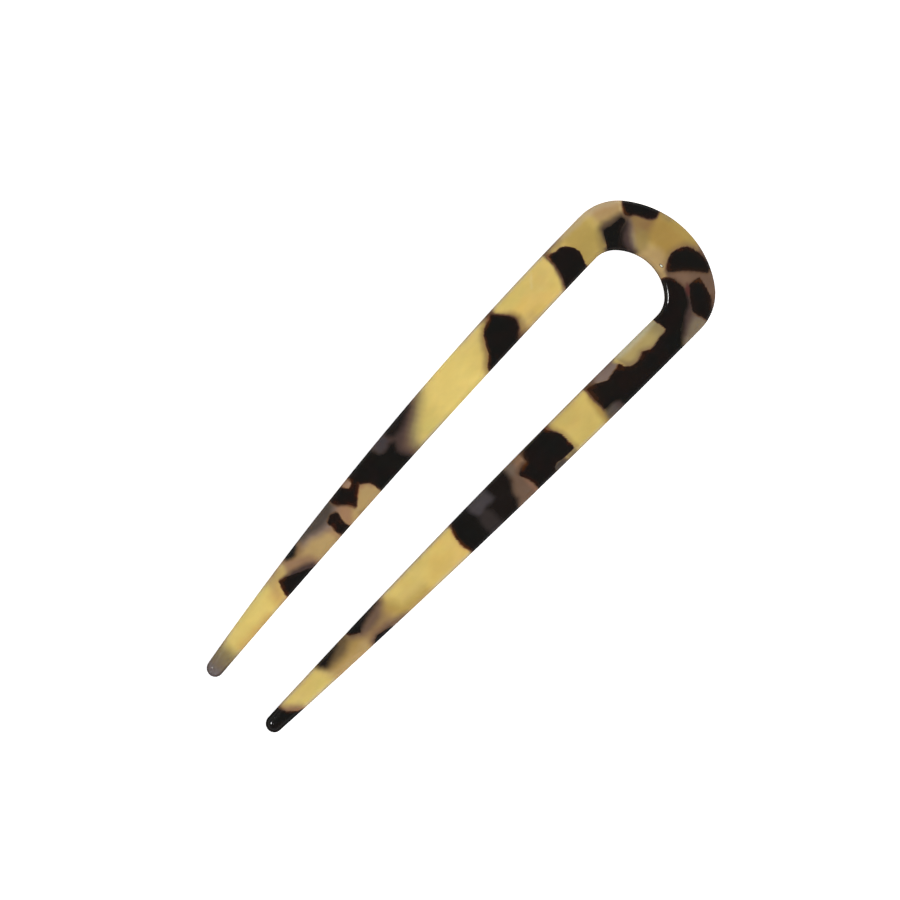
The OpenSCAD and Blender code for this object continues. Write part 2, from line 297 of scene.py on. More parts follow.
        (-12.6, -22.0), (-11.0, -21.2), (-9.4, -21.4), (-8.0, -22.8), (-6.4, -24.2), (-12.6, -24.4)]),
    "belowBlock": ("rose", 0.6, 0.5, [
        (-11.0, -26.6), (-6.0, -26.2), (-6.0, -27.8), (-8.6, -27.6), (-10.6, -28.4)]),
    "edgeLeft": ("lilac", 1.1, 0.9, [
        (-16.0, -22.4), (-12.0, -22.6), (-11.2, -24.0), (-9.8, -26.8), (-10.2, -29.0), (-11.2, -31.4),
        (-11.2, -36.0), (-12.0, -39.0), (-16.0, -39.4)]),
    "edgeLeftAsh": ("ash", 0.9, 0.95, [
        (-16.0, -22.8), (-12.6, -23.2), (-11.6, -25.0), (-11.2, -28.0), (-12.1, -31.2), (-12.4, -34.0),
        (-12.2, -37.6), (-16.0, -38.2)]),
    "besideSpot": ("tan", 0.9, 0.8, [
        (-12.6, -33.2), (-10.9, -34.2), (-10.4, -36.6), (-11.2, -38.4), (-13.2, -39.0)]),
    "besideWedge": ("fawn", 0.9, 0.95, [
        (-12.0, -37.2), (-11.0, -36.2), (-9.4, -33.8), (-6.0, -32.6), (-6.0, -36.0), (-9.2, -39.0),
        (-9.9, -40.6), (-10.8, -39.6), (-12.2, -38.6)]),
    "wedgeDusk": ("plum", 0.7, 1.0, [
        (-10.0, -41.6), (-10.1, -40.0), (-9.8, -38.2), (-9.1, -36.2), (-8.0, -34.2), (-5.0, -33.6),
        (-6.5, -41.6)]),
    "leftOfWedge": ("sand", 0.9, 0.7, [
        (-12.8, -39.4), (-11.0, -39.6), (-10.2, -41.0), (-9.8, -42.6), (-8.0, -43.4), (-8.0, -44.6),
        (-12.8, -43.8)]),
    "spotLeft": ("night", 0.6, 1.0, [
        (-15.0, -33.8), (-12.3, -34.4), (-11.4, -35.8), (-11.4, -36.8), (-11.9, -37.9), (-15.0, -38.5)]),
    "belowWedge": ("amber", 1.2, 0.5, [
        (-10.4, -42.4), (-6.0, -43.4), (-6.0, -46.0), (-9.6, -45.4)]),
    "amberLow": ("amber", 1.0, 0.55, [
        (-7.6, -48.0), (-5.5, -47.0), (-5.5, -57.6), (-7.4, -57.0)]),
    "tipLeftSmoke": ("smoke", 1.7, 1.0, [
        (-13.0, -58.2), (-3.0, -58.5), (-3.0, -68.0), (-13.0, -68.0)]),
    "tipLeftAsh": ("grey", 1.6, 0.8, [
        (-13.0, -61.2), (-3.0, -61.2), (-3.0, -68.0), (-13.0, -68.0)]),
    "tipLeftEnd": ("pewter", 0.9, 0.6, [
        (-13.0, -63.0), (-3.0, -63.0), (-3.0, -68.0), (-13.0, -68.0)]),
    # painted shade in a thin crescent along the tip's outline
    "tipLeftPaintedShade": ("plum", 0.3, 0.7, [
        (-11.0, -58.4), (-10.0, -58.4), (-9.7, -61.0), (-9.4, -63.2), (-8.6, -64.3), (-7.7, -64.7),
        (-6.8, -64.3), (-6.2, -63.2), (-6.3, -60.4), (-5.0, -60.4), (-5.0, -66.5), (-11.0, -66.5)]),
    "stripRight": ("ash", 0.4, 1.0, [
        (13.8, 15.4), (17.0, 15.8), (17.0, 11.4), (13.8, 12.0)]),
    "aboveRightFirst": ("tan", 0.6, 0.5, [
        (5.0, 17.4), (8.0, 18.2), (10.6, 19.0), (15.0, 18.9), (15.0, 15.0), (5.0, 15.0)]),
    "stripRightTop": ("smoke", 0.4, 1.0, [
        (14.2, 18.0), (17.0, 18.2), (17.0, 15.7), (14.3, 15.8)]),
    "belowRightFirst": ("taupe", 0.8, 1.0, [
        (5.0, 10.2), (8.4, 9.4), (9.8, 8.4), (10.4, 7.6), (13.0, 8.4), (17.0, 8.4), (17.0, 0.0),
        (5.0, 2.0)]),
    "tanRight": ("fawn", 0.7, 0.9, [
        (6.0, 10.8), (8.2, 10.4), (10.0, 10.0), (9.8, 7.4), (8.2, 7.2), (6.0, 8.8)]),
    "roseRight": ("rose", 0.5, 0.45, [
        (10.0, 6.9), (13.0, 7.8), (16.0, 7.6), (16.0, 6.2), (12.0, 6.4)]),
    "greyRight": ("grey", 0.9, 0.7, [
        (5.0, 8.2), (8.4, 7.4), (9.4, 6.2), (8.8, 4.0), (5.0, 4.0)]),
    "slateRight": ("slate", 0.5, 1.0, [
        (5.0, 4.6), (10.0, 4.0), (11.4, 2.0), (13.6, 2.0), (17.0, 0.2), (17.0, -8.0), (5.0, -8.0)]),
    "sootRight": ("soot", 0.5, 0.85, [
        (9.9, 4.0), (17.0, 0.0), (17.0, -8.0), (9.8, -8.0)]),
    "nightRight": ("coal", 0.9, 1.0, [
        (5.0, 5.1), (8.8, 5.1), (9.9, 4.8), (11.1, 3.5), (12.0, 3.0), (13.3, 3.1), (14.4, 1.8),
        (16.5, 1.0), (16.5, -2.4), (11.2, -2.5), (9.9, -2.9), (9.8, -0.4), (5.0, -0.4)]),
    "legRightNight": ("night", 0.7, 1.0, [
        (5.0, -5.4), (8.2, -5.6), (9.8, -5.2), (12.4, -6.0), (17.0, -5.6), (17.0, -9.6), (5.0, -9.0)]),
    "belowRightDark": ("rose", 0.5, 0.35, [
        (6.0, -10.0), (8.0, -11.2), (11.4, -12.0), (15.0, -11.2), (15.0, -10.0), (6.0, -9.6)]),
    "goldRight": ("gold", 1.5, 0.7, [
        (11.6, -22.6), (14.0, -21.6), (14.0, -32.6), (9.6, -33.8), (6.0, -31.6), (8.4, -29.4),
        (10.8, -28.4)]),
    "lowRight": ("sand", 1.5, 0.9, [
        (5.0, -30.2), (9.4, -31.8), (14.0, -30.4), (14.0, -47.8), (9.4, -48.8), (5.0, -49.8)]),
    "lowRightGold": ("gold", 1.0, 0.6, [
        (7.4, -39.6), (9.8, -38.8), (10.8, -41.6), (10.6, -46.8), (8.0, -48.6), (7.0, -44.0)]),
    "lowRightTan": ("rose", 0.9, 0.7, [
        (14.0, -31.6), (12.2, -32.4), (10.6, -33.8), (10.2, -36.0), (10.8, -38.0), (14.0, -39.0)]),
    "lowRightFawn": ("tan", 1.3, 0.5, [
        (8.6, -31.6), (12.4, -31.6), (12.0, -38.2), (9.0, -38.6)]),
    "lowRightEdge": ("taupe", 0.9, 0.9, [
        (14.0, -28.2), (12.5, -28.8), (11.6, -31.0), (11.0, -33.4), (10.8, -36.4), (11.3, -38.2),
        (14.0, -38.8)]),
    "lowRightNight": ("coal", 0.7, 0.9, [
        (14.0, -32.8), (12.2, -33.0), (11.8, -34.4), (11.5, -36.2), (11.8, -37.6), (14.0, -38.2)]),
    "lowLeftTaupe": ("taupe", 1.1, 1.0, [
        (5.0, -29.6), (7.8, -30.6), (9.4, -33.0), (10.1, -36.0), (9.7, -38.2), (8.4, -40.2), (5.0, -41.2)]),
    "lowLeftNight": ("coal", 0.8, 1.0, [
        (5.0, -30.8), (7.0, -31.6), (7.5, -34.2), (8.0, -36.4), (8.5, -37.9), (7.5, -39.8), (5.0, -40.6)]),
    "lowerLeftOlive": ("bark", 1.2, 0.95, [
        (5.0, -40.2), (8.1, -40.6), (9.3, -43.0), (9.4, -45.6), (9.1, -48.0), (7.4, -49.0), (5.0, -49.5)]),
    "lowerLeftNight": ("coal", 0.8, 1.0, [
        (5.0, -42.2), (7.1, -43.2), (7.8, -45.2), (8.2, -46.8), (8.6, -48.0), (7.4, -48.9), (5.0, -49.4)]),
    "aboveTipRight": ("fawn", 0.9, 1.0, [
        (6.3, -60.4), (7.7, -59.0), (8.7, -57.9), (9.7, -56.8), (13.0, -55.8), (12.0, -60.0), (7.0, -62.0)]),
    "aboveTipRightTan": ("tan", 0.6, 0.45, [
        (6.5, -60.3), (8.0, -59.5), (9.0, -58.7), (9.7, -57.8), (10.3, -56.9), (12.5, -56.0),
        (12.0, -60.0), (7.0, -62.0)]),
}

mottleSizes = {
    "probeDepths": (0.1, 0.2, 0.32, 0.46, 0.64, 0.86, 1.1, 1.4, 1.75, 2.2, 2.7, 3.3),
    "cloud": 1.3,            # depth at which a chip is a third as dark
    "spread": 0.3,           # how much softer it gets for each millimetre down
    "edge": 0.06,            # softness of a chip just below the surface
    "farthest": 1.5,         # distances beyond this aren't told apart
    "corner": 0.18,          # how much of each charted corner is cut off
    "cornerShare": 0.4,      # and the most of a side that this takes
    "leastRust": 0.22,       # away from the rusty spots
    "rustFade": 1.6,         # how steeply a rusty spot runs out
    "wander": 0.05,          # how far the charted outlines wave from side to side
    "footWave": 0.4,         # how far the foot of a chip rises and falls
}

# Waves over the sheet: how fast each goes along x and along y, where it starts, and its share
sideWaves = [(0.7, 1.9, 0.0, 1.0), (-2.3, 4.3, 1.0, 0.7)]       # that shift the outlines along x
lengthWaves = [(1.7, -0.9, 2.0, 1.0), (4.9, 2.9, 0.0, 0.7)]     # and along y
footWaves = [(0.9, 0.7, 0.0, 0.333), (-1.3, 1.1, 2.0, 0.333), (0.5, -1.7, 1.0, 0.333)]


# The outline as a chain of arcs and lines

def onCircle(centre, radius, angle):
    return centre + radius * np.array([math.cos(angle), math.sin(angle)])


def heading(start, end):
    return math.atan2(end[1] - start[1], end[0] - start[0])


def holdingCentre(small, smallRadius, point, radius):
    # centre of a large circle that passes through the point and holds a small circle touching it
    span = np.linalg.norm(point - small)
    forward = (point - small) / span
    along = ((radius - smallRadius) ** 2 - radius ** 2 + span ** 2) / (2 * span)
    across = math.sqrt((radius - smallRadius) ** 2 - along ** 2)
    return small + along * forward + across * np.array([-forward[1], forward[0]])


def joiningRadius(point, inward, centre, radius):
    # radius of the arc that leaves the point square to its normal and runs smoothly into a circle
    offset = point - centre
    return (radius ** 2 - offset @ offset) / (2 * (offset @ inward + radius))


def arcSteps(arc, spacing):
    centre, radius, start, end = arc
    return math.ceil(radius * (start - end) / spacing)


def arcRows(arc, steps, facing=1):
    centre, radius, start, end = arc
    angles = [start + (end - start) * i / steps for i in range(steps)]
    return [(onCircle(centre, radius, a), facing * onCircle(np.zeros(2), 1, a)) for a in angles]


def lineRows(line, steps):
    start, angle, run, normal = line
    return [(onCircle(start, run * i / steps, angle), normal) for i in range(steps)]


def legCurves():
    # down the right leg: arcs as (centre, radius, start, end) and its straight inner line
    s = pinSizes
    top = pinLength / 2
    shoulderPoint = np.array([s["shoulder"], top - s["shoulderDrop"]])
    root = np.array([s["gap"], top - s["rootDrop"]])
    tipCentre = np.array([s["tip"], s["tipRadius"] - top])
    crownCentre = np.array([0, top - s["crownRadius"]])
    archCentre = np.array([0, top - s["crownWidth"] - s["archRadius"]])
    edgeCentre = holdingCentre(tipCentre, s["tipRadius"], shoulderPoint, s["edgeRadius"])
    inward = (edgeCentre - shoulderPoint) / s["edgeRadius"]
    bendRadius = joiningRadius(shoulderPoint, inward, crownCentre, s["crownRadius"])
    bendCentre = shoulderPoint + bendRadius * inward
    tipSpan = np.linalg.norm(tipCentre - root)
    lineAngle = heading(root, tipCentre) - math.asin(s["tipRadius"] / tipSpan)
    lineRun = math.sqrt(tipSpan ** 2 - s["tipRadius"] ** 2)
    gapward = np.array([math.sin(lineAngle), -math.cos(lineAngle)])
    rootRadius = joiningRadius(root, gapward, archCentre, s["archRadius"])
    rootCentre = root + rootRadius * gapward
    bendAngle = heading(crownCentre, bendCentre)
    edgeTop = heading(edgeCentre, shoulderPoint)
    edgeLow = heading(edgeCentre, tipCentre)
    rootAngle = heading(archCentre, rootCentre)
    lineSide = heading(rootCentre, root)
    tipEnd = (edgeLow + lineSide - math.pi) / 2
    return {
        "crown": (crownCentre, s["crownRadius"], math.pi / 2, bendAngle),
        "bend": (bendCentre, bendRadius, bendAngle, edgeTop),
        "edge": (edgeCentre, s["edgeRadius"], edgeTop, edgeLow),
        "tip": (tipCentre, s["tipRadius"], edgeLow, tipEnd),
        "arch": (archCentre, s["archRadius"], math.pi / 2, rootAngle),
        "root": (rootCentre, rootRadius, rootAngle, lineSide),
        "line": (root, lineAngle, lineRun, gapward),
        "innerTip": (tipCentre, s["tipRadius"], lineSide - math.pi, tipEnd),
        "tipEnd": (tipCentre, s["tipRadius"], tipEnd, tipEnd),
    }


def halfOutline():
    # rows of (point, normal) down the outer and the inner edge of the right leg, which keep pace
    spacing = pinSizes["spacing"]
    leg = legCurves()
    crownSteps = arcSteps(leg["crown"], spacing)
    bendSteps = max(arcSteps(leg["bend"], spacing), arcSteps(leg["root"], spacing))
    edgeSteps = math.ceil(leg["line"][2] / spacing)
    tipSteps = arcSteps(leg["tip"], pinSizes["tipSpacing"])
    outer = arcRows(leg["crown"], crownSteps) + arcRows(leg["bend"], bendSteps)
    outer += arcRows(leg["edge"], edgeSteps) + arcRows(leg["tip"], tipSteps)
    inner = arcRows(leg["arch"], crownSteps, -1) + arcRows(leg["root"], bendSteps, -1)
    inner += lineRows(leg["line"], edgeSteps) + arcRows(leg["innerTip"], tipSteps)
    last = arcRows(leg["tipEnd"], 1)
    return outer + last, inner + last


def smoothStep(share):
    share = np.clip(share, 0, 1)
    return share * share * (3 - 2 * share)


def sectionLoop(outerRow, innerRow):
    # one closed section of a leg, in rows of (x, y, z, distance from the outline)
    s = pinSizes
    (outerPoint, outerNormal), (innerPoint, innerNormal) = outerRow, innerRow
    aboveTip = (outerPoint[1] + pinLength / 2 - s["tipHold"]) / s["tipReach"]
    wear = 1 - smoothStep(aboveTip)
    inset = s["polishInset"] + wear * (s["tipInset"] - s["polishInset"])
    drop = s["polishDrop"] + wear * (s["tipDrop"] - s["polishDrop"])
    quarters = [math.pi / 2 * i / s["roundSteps"] for i in range(s["roundSteps"] + 1)]
    rounding = [(inset * (1 - math.sin(a)) + s["tuck"], drop * (1 - math.cos(a))) for a in quarters]
    wallRun = pinThickness - 2 * drop
    wall = [(s["tuck"], drop + wallRun * i / s["wallSteps"]) for i in range(1, s["wallSteps"])]
    underside = [(i, pinThickness - d) for i, d in reversed(rounding)]
    side = rounding + wall + underside          # from the upper face down to the lower one
    innerSide = [(*(innerPoint - i * innerNormal), pinThickness - d, i) for i, d in side]
    outerSide = [(*(outerPoint - i * outerNormal), pinThickness - d, i) for i, d in reversed(side)]
    halfWidth = np.linalg.norm(outerPoint - innerPoint) / 2

    def across(start, end):
        rows = []
        for i in range(1, s["columns"]):
            share = i / s["columns"]
            row = np.array(start) + share * (np.array(end) - np.array(start))
            row[3] += min(share, 1 - share) * 2 * (halfWidth - inset)
            rows.append(tuple(row))
        return rows

    return outerSide + across(outerSide[-1], innerSide[0]) + innerSide + across(innerSide[-1], outerSide[0])


def mirrored(row):
    flip = np.array([-1, 1])
    return row[0] * flip, row[1] * flip


def pinMesh():
    outer, inner = halfOutline()
    right = [sectionLoop(o, i) for o, i in zip(outer, inner)]
    left = [sectionLoop(mirrored(o), mirrored(i)) for o, i in zip(outer[1:], inner[1:])]
    loops = np.array(left[::-1] + right)
    loops[..., 0] += pinSizes["bow"] * ((loops[..., 1] / (pinLength / 2)) ** 2 - 0.5)
    rows, around = loops.shape[:2]
    quads = []
    for row in range(rows - 1):
        for k in range(around):
            a = row * around + k
            b = row * around + (k + 1) % around
            quads.append((a, a + around, b + around, b))
    mesh = bpy.data.meshes.new("hairpin")
    mesh.from_pydata((loops[..., :3].reshape(-1, 3) * millimetre).tolist(), [], quads)
    layer = mesh.attributes.new("edgeInset", "FLOAT", "POINT")
    layer.data.foreach_set("value", loops[..., 3].astype(np.float32).ravel())
    weld = pinSizes["weld"] * millimetre
    work = bmesh.new()
    work.from_mesh(mesh)
    bmesh.ops.remove_doubles(work, verts=work.verts, dist=weld)
    bmesh.ops.dissolve_degenerate(work, edges=work.edges, dist=weld)
    bmesh.ops.recalc_face_normals(work, faces=work.faces)
    work.to_mesh(mesh)
    work.free()
    mesh.shade_smooth()
    return mesh


# The mottled pattern, worked out at every point of the surface

def cutCorners(outline):
    # the charted outline with each corner cut off, so that it reads as round
    corners = np.array(outline, float)
    cut = []
    for before, corner, after in zip(np.roll(corners, 1, axis=0), corners, np.roll(corners, -1, axis=0)):
        for neighbour in (before, after):
            side = neighbour - corner
            share = min(mottleSizes["corner"] / np.linalg.norm(side), mottleSizes["cornerShare"])
            cut.append(corner + side * share)
    return np.array(cut)


def waveSum(points, waves):
    return sum(share * np.sin(fastX * points[:, 0] + fastY * points[:, 1] + start)
               for fastX, fastY, start, share in waves)


def wandering(flat):
    # gentle waves that take the straightness out of the charted outlines
    shift = np.stack([waveSum(flat, sideWaves), waveSum(flat, lengthWaves)], axis=1)
    return flat + mottleSizes["wander"] * shift


def outlineDistance(points, corners):
    # distance to an outline, negative inside it
    nearest = np.full(len(points), np.inf)
    inside = np.zeros(len(points), bool)
    for a, b in zip(corners, np.roll(corners, -1, axis=0)):
        edge, offset = b - a, points - a
        along = np.clip(offset @ edge / (edge @ edge), 0, 1)
        nearest = np.minimum(nearest, ((offset - along[:, None] * edge) ** 2).sum(1))
        crossed = (a[1] > points[:, 1]) != (b[1] > points[:, 1])
        leftSide = edge[0] * offset[:, 1] > edge[1] * offset[:, 0]
        inside ^= crossed & (leftSide == (b[1] > a[1]))
    return np.where(inside, -1, 1) * np.sqrt(nearest)


def sidewaysDistance(flat, outline, margin):
    # distance past a charted outline, negative inside it and the margin far outside
    corners = cutCorners(outline)
    near = ((flat > corners.min(0) - margin) & (flat < corners.max(0) + margin)).all(1)
    sideways = np.full(len(flat), margin)
    sideways[near] = outlineDistance(flat[near], corners)
    return sideways


def chipDistances(points, chip, margin):
    # distances past the sides and past the top or foot of one chip, negative inside them
    depth = pinThickness - points[:, 2]
    flat = wandering(points[:, :2]) - depth[:, None] * np.array(chip["lean"])
    top, foot = chip["levels"]
    foot = foot + mottleSizes["footWave"] * waveSum(points, footWaves)
    return sidewaysDistance(flat, chip["outline"], margin), np.maximum(top - depth, depth - foot)


def rustShare(points):
    share = np.full(len(points), mottleSizes["leastRust"])
    for x, y, reach in rustSpots:
        away = np.hypot(points[:, 0] - x, points[:, 1] - y)
        share = np.maximum(share, smoothStep(mottleSizes["rustFade"] * (1 - away / reach)))
    return share


def chipEdges(points):
    # distance to the nearest chip that the surface cuts, and how rusty the point is
    nearest = np.full(len(points), mottleSizes["farthest"])
    rim = np.ones(len(points))
    for chip in chips.values():
        distance = np.maximum(*chipDistances(points, chip, mottleSizes["farthest"]))
        rim = np.where(distance < nearest, chip["rim"], rim)
        nearest = np.minimum(nearest, distance)
    return nearest, smoothStep(1 + nearest / rim) * rustShare(points)


def chipShade(points, normals):
    # how dark the chips below the surface make it
    m = mottleSizes
    shade = np.zeros(len(points))
    clear = np.ones(len(points))
    for depth in m["probeDepths"]:
        probe = points - depth * normals
        passed = np.ones(len(points))
        blur = m["edge"] + m["spread"] * depth
        for chip in chips.values():
            sideways, upright = chipDistances(probe, chip, blur)
            passed *= 1 - smoothStep(0.5 - sideways / (2 * blur)) * smoothStep(0.5 - upright / (2 * blur))
        shade += clear * (1 - passed) * math.exp(-depth / m["cloud"])
        clear *= passed
    return shade


def veilColours(points):
    # colour of the veils, already weighted by how far they hide the honey, and that weight
    flat = wandering(points[:, :2])
    colours = np.zeros((len(points), 4))
    for tone, soft, dense, outline in veils.values():
        sideways = sidewaysDistance(flat, outline, soft)
        hidden = dense * smoothStep(0.5 - sideways / (2 * soft))[:, None]
        colours = colours * (1 - hidden) + hidden * np.array(hexColour(tones[tone]))
    return colours


def addMottle(mesh):
    points = np.empty(len(mesh.vertices) * 3, np.float32)
    mesh.vertices.foreach_get("co", points)
    normals = np.empty(len(mesh.vertices) * 3, np.float32)
    mesh.vertex_normals.foreach_get("vector", normals)
    points = points.reshape(-1, 3).astype(float) / millimetre
    normals = normals.reshape(-1, 3).astype(float)
    distance, rust = chipEdges(points)
    shade = chipShade(points, normals)
    for name, values in (("chipDistance", distance), ("chipRust", rust), ("chipShade", shade)):
        layer = mesh.attributes.new(name, "FLOAT", "POINT")
        layer.data.foreach_set("value", values.astype(np.float32))
    layer = mesh.attributes.new("veilColour", "FLOAT_COLOR", "POINT")
    layer.data.foreach_set("color", veilColours(points).astype(np.float32).ravel())
    print("pattern ready,", len(chips), "chips and", len(veils), "veils")


# Material nodes

def hexColour(code):
    # linear colour of a hex code
    channels = [int(code[i:i + 2], 16) / 255 for i in (1, 3, 5)]
    return tuple(c / 12.92 if c <= 0.04045 else ((c + 0.055) / 1.055) ** 2.4 for c in channels) + (1,)


def addNode(tree, kind, values=None, **settings):
    node = tree.nodes.new(kind)
    for name, value in settings.items():
        setattr(node, name, value)
    for socket, value in (values or {}).items():
        if isinstance(value, bpy.types.NodeSocket):
            tree.links.new(value, node.inputs[socket])
        else:
            node.inputs[socket].default_value = value
    return node


def addRamp(tree, factor, stops, blend="EASE"):
    # colour ramp from a list of (place, hex colour)
    ramp = addNode(tree, "ShaderNodeValToRGB", {"Fac": factor})
    ramp.color_ramp.interpolation = blend
    elements = ramp.color_ramp.elements
    while len(elements) < len(stops):
        elements.new(1)
    for element, (place, code) in zip(elements, stops):
        element.position = place
        element.color = hexColour(code)
    return ramp.outputs["Color"]


def addMix(tree, factor, first, second, blend="MIX"):
    return addNode(tree, "ShaderNodeMix", {
        0: factor, 6: first, 7: second,      # the sockets of a colour mix
    }, data_type="RGBA", blend_type=blend, clamp_factor=True).outputs[2]


def addMath(tree, operation, *values):
    return addNode(tree, "ShaderNodeMath", dict(enumerate(values)), operation=operation).outputs[0]


def addVectorMath(tree, operation, values, output="Vector"):
    return addNode(tree, "ShaderNodeVectorMath", values, operation=operation).outputs[output]


def addAttribute(tree, name, output="Fac"):
    return addNode(tree, "ShaderNodeAttribute", attribute_name=name).outputs[output]


def addRange(tree, value, low, high, newLow=0.0, newHigh=1.0):
    return addNode(tree, "ShaderNodeMapRange", {
        "Value": value, "From Min": low, "From Max": high, "To Min": newLow, "To Max": newHigh,
    }, interpolation_type="SMOOTHSTEP").outputs["Result"]


def addNoise(tree, place, scale, detail=2.0, roughness=0.5, stretch=None, turn=0.0):
    # noise whose scale is in features for each millimetre
    if stretch:
        place = addNode(tree, "ShaderNodeMapping", {
            "Vector": place, "Rotation": (0, 0, turn), "Scale": stretch,
        }).outputs["Vector"]
    return addNode(tree, "ShaderNodeTexNoise", {
        "Vector": place, "Scale": scale, "Detail": detail, "Roughness": roughness,
    }).outputs["Fac"]


# Reaches, radii and depths in millimetres, scales in features for each millimetre
acetateLook = {
    "honey": [(0.32, "#DAC671"), (0.50, "#E3C973"), (0.68, "#E5C46D")],   # greenish, yellow, warm
    "honeyScale": 0.11,
    "wisp": "#E8C39A",
    "wispScale": 0.3,
    "wispShare": 0.12,
    "paintedSheenEdge": "#D6C3A0",   # the honey where the polished edge thins it, paler with a painted sheen
    "paintedSheenShare": 0.75,
    "paintedSheenReach": 0.9,
    "paintedRimShade": 0.7,         # painted shade along the line right at the outline, where its wall is seen edge on
    "paintedRimReach": 0.4,
    "ripple": (0.93, 1.03),  # unevenness of the veils
    "rippleScale": 0.3,
    "flank": "#6A4F3C",      # a chip seen through a little honey
    "chip": [(0.35, "#141412"), (0.75, "#1B1311")],
    "chipScale": 0.35,
    "rust": [(0.42, "#3C1808"), (0.58, "#522A08")],   # just inside a glowing edge
    "rustScale": 0.12,
    "rustPatchScale": 0.4,   # of the stretches of edge that glow
    "ember": "#B9794C",      # the honey just outside a glowing edge
    "emberGlow": 0.4,
    "emberReach": 0.7,
    "ragged": 0.28,          # how far a chip's edge strays
    "raggedShade": 0.4,      # how uneven the chips below the surface are
    "raggedScale": 1.6,
    "roughness": (0.084, 0.18),
    "hazeScale": 0.22,       # of the patches of duller polish
    "scratchRoughness": 0.1,
    "scratchDepth": 0.004,
    "waveDepth": 0.01,       # of the faint wave that the buffing wheel leaves
    "waveScale": 0.18,
    "bubble": (2.25, 56.35, pinThickness),   # burst bubble in the upper face
    "bubbleSqueeze": (0.75, 1.4, 1.0),       # makes it longer sideways than up
    "bubbleRadius": 0.5,
    "bubbleFloor": 0.28,     # where its painted dark ring, the shade of the pit, is full
    # painted shade of the bubble's rim
    "paintedRingShade": 0.8,
    # painted highlight of the bubble
    "paintedGlintColour": "#FFFFF0",
    "paintedGlintRadii": (0.26, 0.16),
    "bubbleDepth": 0.1,
    "refraction": 1.48,
    "milkiness": 0.2,        # share of the light that scatters inside
    "scatter": (1.0, 0.6, 0.25),
    "scatterReach": 0.5,
    "buffedSkin": 0.3,       # the glossy skin that buffing leaves
    "buffedRoughness": 0.03,
}


def honeyColour(tree, place):
    # cloudy, drawn out a little along the sheet, paler with a painted sheen where the polished edge thins
    # it, and darkened with painted shade right at the outline
    look = acetateLook
    clouds = addNoise(tree, place, look["honeyScale"], 3.0, 0.55, stretch=(1, 0.7, 1))
    honey = addRamp(tree, clouds, look["honey"])
    wisps = addNoise(tree, place, look["wispScale"], 3.0, 0.5, stretch=(1, 0.5, 1), turn=0.6)
    wispShare = addRange(tree, wisps, 0.45, 0.75, 0, look["wispShare"])
    honey = addMix(tree, wispShare, honey, hexColour(look["wisp"]))
    inset = addAttribute(tree, "edgeInset")
    # painted sheen on the polished edge
    edgeSheen = addRange(tree, inset, look["paintedSheenReach"], 0.0, 0, look["paintedSheenShare"])
    honey = addMix(tree, edgeSheen, honey, hexColour(look["paintedSheenEdge"]))
    # painted shade right at the outline
    paintedRimShade = addRange(tree, inset, look["paintedRimReach"], 0.0, 1.0, look["paintedRimShade"])
    return addMix(tree, 1.0, honey, paintedRimShade, "MULTIPLY")


def veiledColour(tree, place, honey):
    # the tinted veils over the honey, a little uneven
    look = acetateLook
    black = (0, 0, 0, 1)
    covered = addMix(tree, addAttribute(tree, "veilColour", "Alpha"), honey, black)
    colour = addMix(tree, 1.0, covered, addAttribute(tree, "veilColour", "Color"), "ADD")
    ripple = addNoise(tree, place, look["rippleScale"], 3.0, 0.5, stretch=(1, 0.6, 1), turn=-0.6)
    uneven = addRange(tree, ripple, 0.3, 0.7, *look["ripple"])
    return addMix(tree, 1.0, colour, uneven, "MULTIPLY")


def chippedColour(tree, place, colour):
    look = acetateLook
    light = addNode(tree, "ShaderNodeRGBToBW", {0: colour}).outputs[0]
    ragged = addMath(tree, "SUBTRACT", addNoise(tree, place, look["raggedScale"], 4.0, 0.65), 0.5)
    chipTone = addRamp(tree, addNoise(tree, place, look["chipScale"], 2.0), look["chip"])

    # chips below the surface, brown where the honey over them is thick and black where it is thin
    uneven = addMath(tree, "MULTIPLY_ADD", ragged, look["raggedShade"], 1.0)
    shade = addMath(tree, "MULTIPLY", addAttribute(tree, "chipShade"), uneven)
    colour = addMix(tree, addRange(tree, shade, 0.0, 0.5), colour, hexColour(look["flank"]), "DARKEN")
    colour = addMix(tree, addRange(tree, shade, 0.35, 1.0), colour, chipTone)

    # chips that the surface cuts, whose edge glows rust in places, where what is beside it is light
    edge = addMath(tree, "MULTIPLY_ADD", ragged, look["ragged"], addAttribute(tree, "chipDistance"))
    stretches = addNoise(tree, place, look["rustPatchScale"], 3.0)
    glow = addRange(tree, stretches, 0.38, 0.56, 0.5, 1.0)
    glow = addMath(tree, "MULTIPLY", glow, addRange(tree, light, 0.02, 0.12))
    glow = addMath(tree, "MULTIPLY", glow, addAttribute(tree, "chipRust"))
    outside = addRange(tree, edge, look["emberReach"], 0.0, 0, look["emberGlow"])
    outside = addMath(tree, "MULTIPLY", glow, outside)
    outside = addMath(tree, "MULTIPLY", outside, addRange(tree, light, 0.12, 0.4))
    colour = addMix(tree, outside, colour, hexColour(look["ember"]))
    rust = addRamp(tree, addNoise(tree, place, look["rustScale"], 2.0), look["rust"])
    return addMix(tree, addRange(tree, edge, 0.1, -0.18), colour, addMix(tree, glow, chipTone, rust))


def bubbleDistance(tree, place):
    # distance from the middle of the burst bubble, which is an oval
    offset = addVectorMath(tree, "SUBTRACT", {0: place, 1: acetateLook["bubble"]})
    oval = addVectorMath(tree, "MULTIPLY", {0: offset, 1: acetateLook["bubbleSqueeze"]})
    return addVectorMath(tree, "LENGTH", {0: oval}, "Value")


